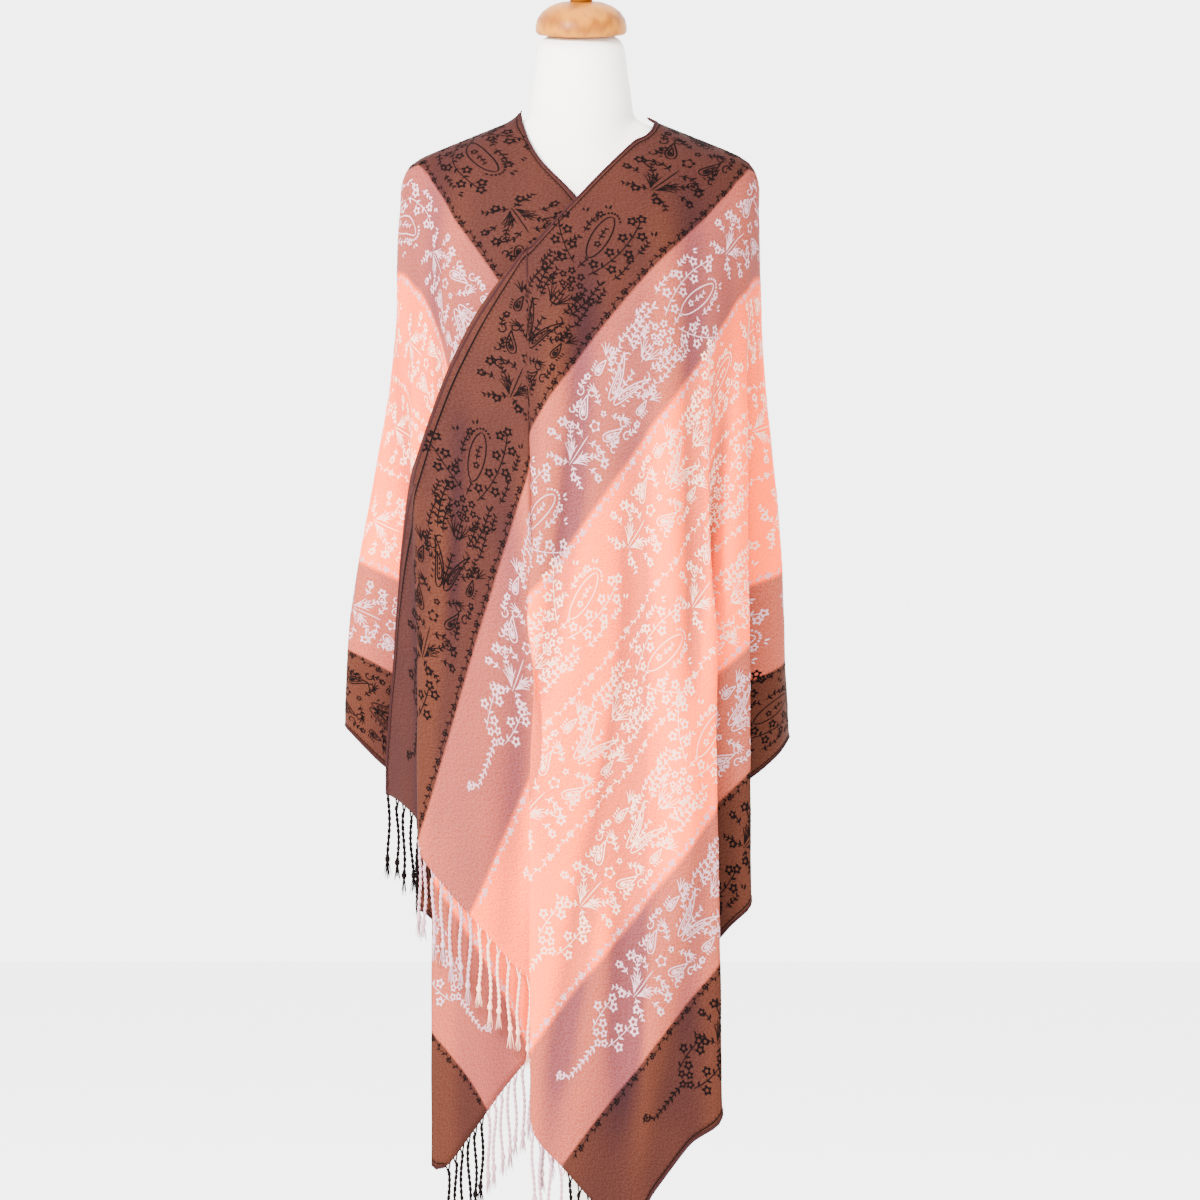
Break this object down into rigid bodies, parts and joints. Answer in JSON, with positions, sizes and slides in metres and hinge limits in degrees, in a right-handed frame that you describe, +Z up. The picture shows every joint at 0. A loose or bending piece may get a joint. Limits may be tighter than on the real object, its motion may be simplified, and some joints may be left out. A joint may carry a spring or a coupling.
{
  "type": "pashmina shawl on dress form",
  "caption": "Pashmina shawl with woven floral and paisley bands and knotted fringes, draped on a limbless linen dress form with a round base.",
  "frame": {"origin": "centre of the stand base's underside, on the floor", "axes": "+Z up along the stand's pole; the front of the shawl, where its ends cross, faces -Y; the end on top hangs towards -X"},
  "size_m": [0.4709, 0.3281, 1.5558],
  "materials": {
    "shawl_cloth": "soft twill weave",
    "black_cord": "twisted yarn",
    "grey_cord": "twisted yarn",
    "cream_cord": "twisted yarn",
    "form_linen": "plain weave linen",
    "turned_wood": "satin varnish",
    "stand_paint": "satin"
  },
  "bodies": {
    "root": {"shawl_back": "shawl_cloth", "shawl_right_folds": "shawl_cloth", "shawl_over_panel": "shawl_cloth", "shawl_left_folds": "shawl_cloth", "shawl_under_panel": "shawl_cloth", "over_fringe_low_brown": "black_cord", "over_fringe_low_mauve": "grey_cord", "over_fringe_peach": "cream_cord", "over_fringe_high_mauve": "grey_cord", "over_fringe_high_brown": "black_cord", "under_fringe_low_brown": "black_cord", "under_fringe_low_mauve": "grey_cord", "under_fringe_peach": "cream_cord", "under_fringe_high_mauve": "grey_cord", "under_fringe_high_brown": "black_cord", "form_torso": "form_linen", "form_neck_cap": "turned_wood", "form_finial": "turned_wood", "stand_pole": "stand_paint", "stand_base": "stand_paint"}
  },
  "joints": []
}
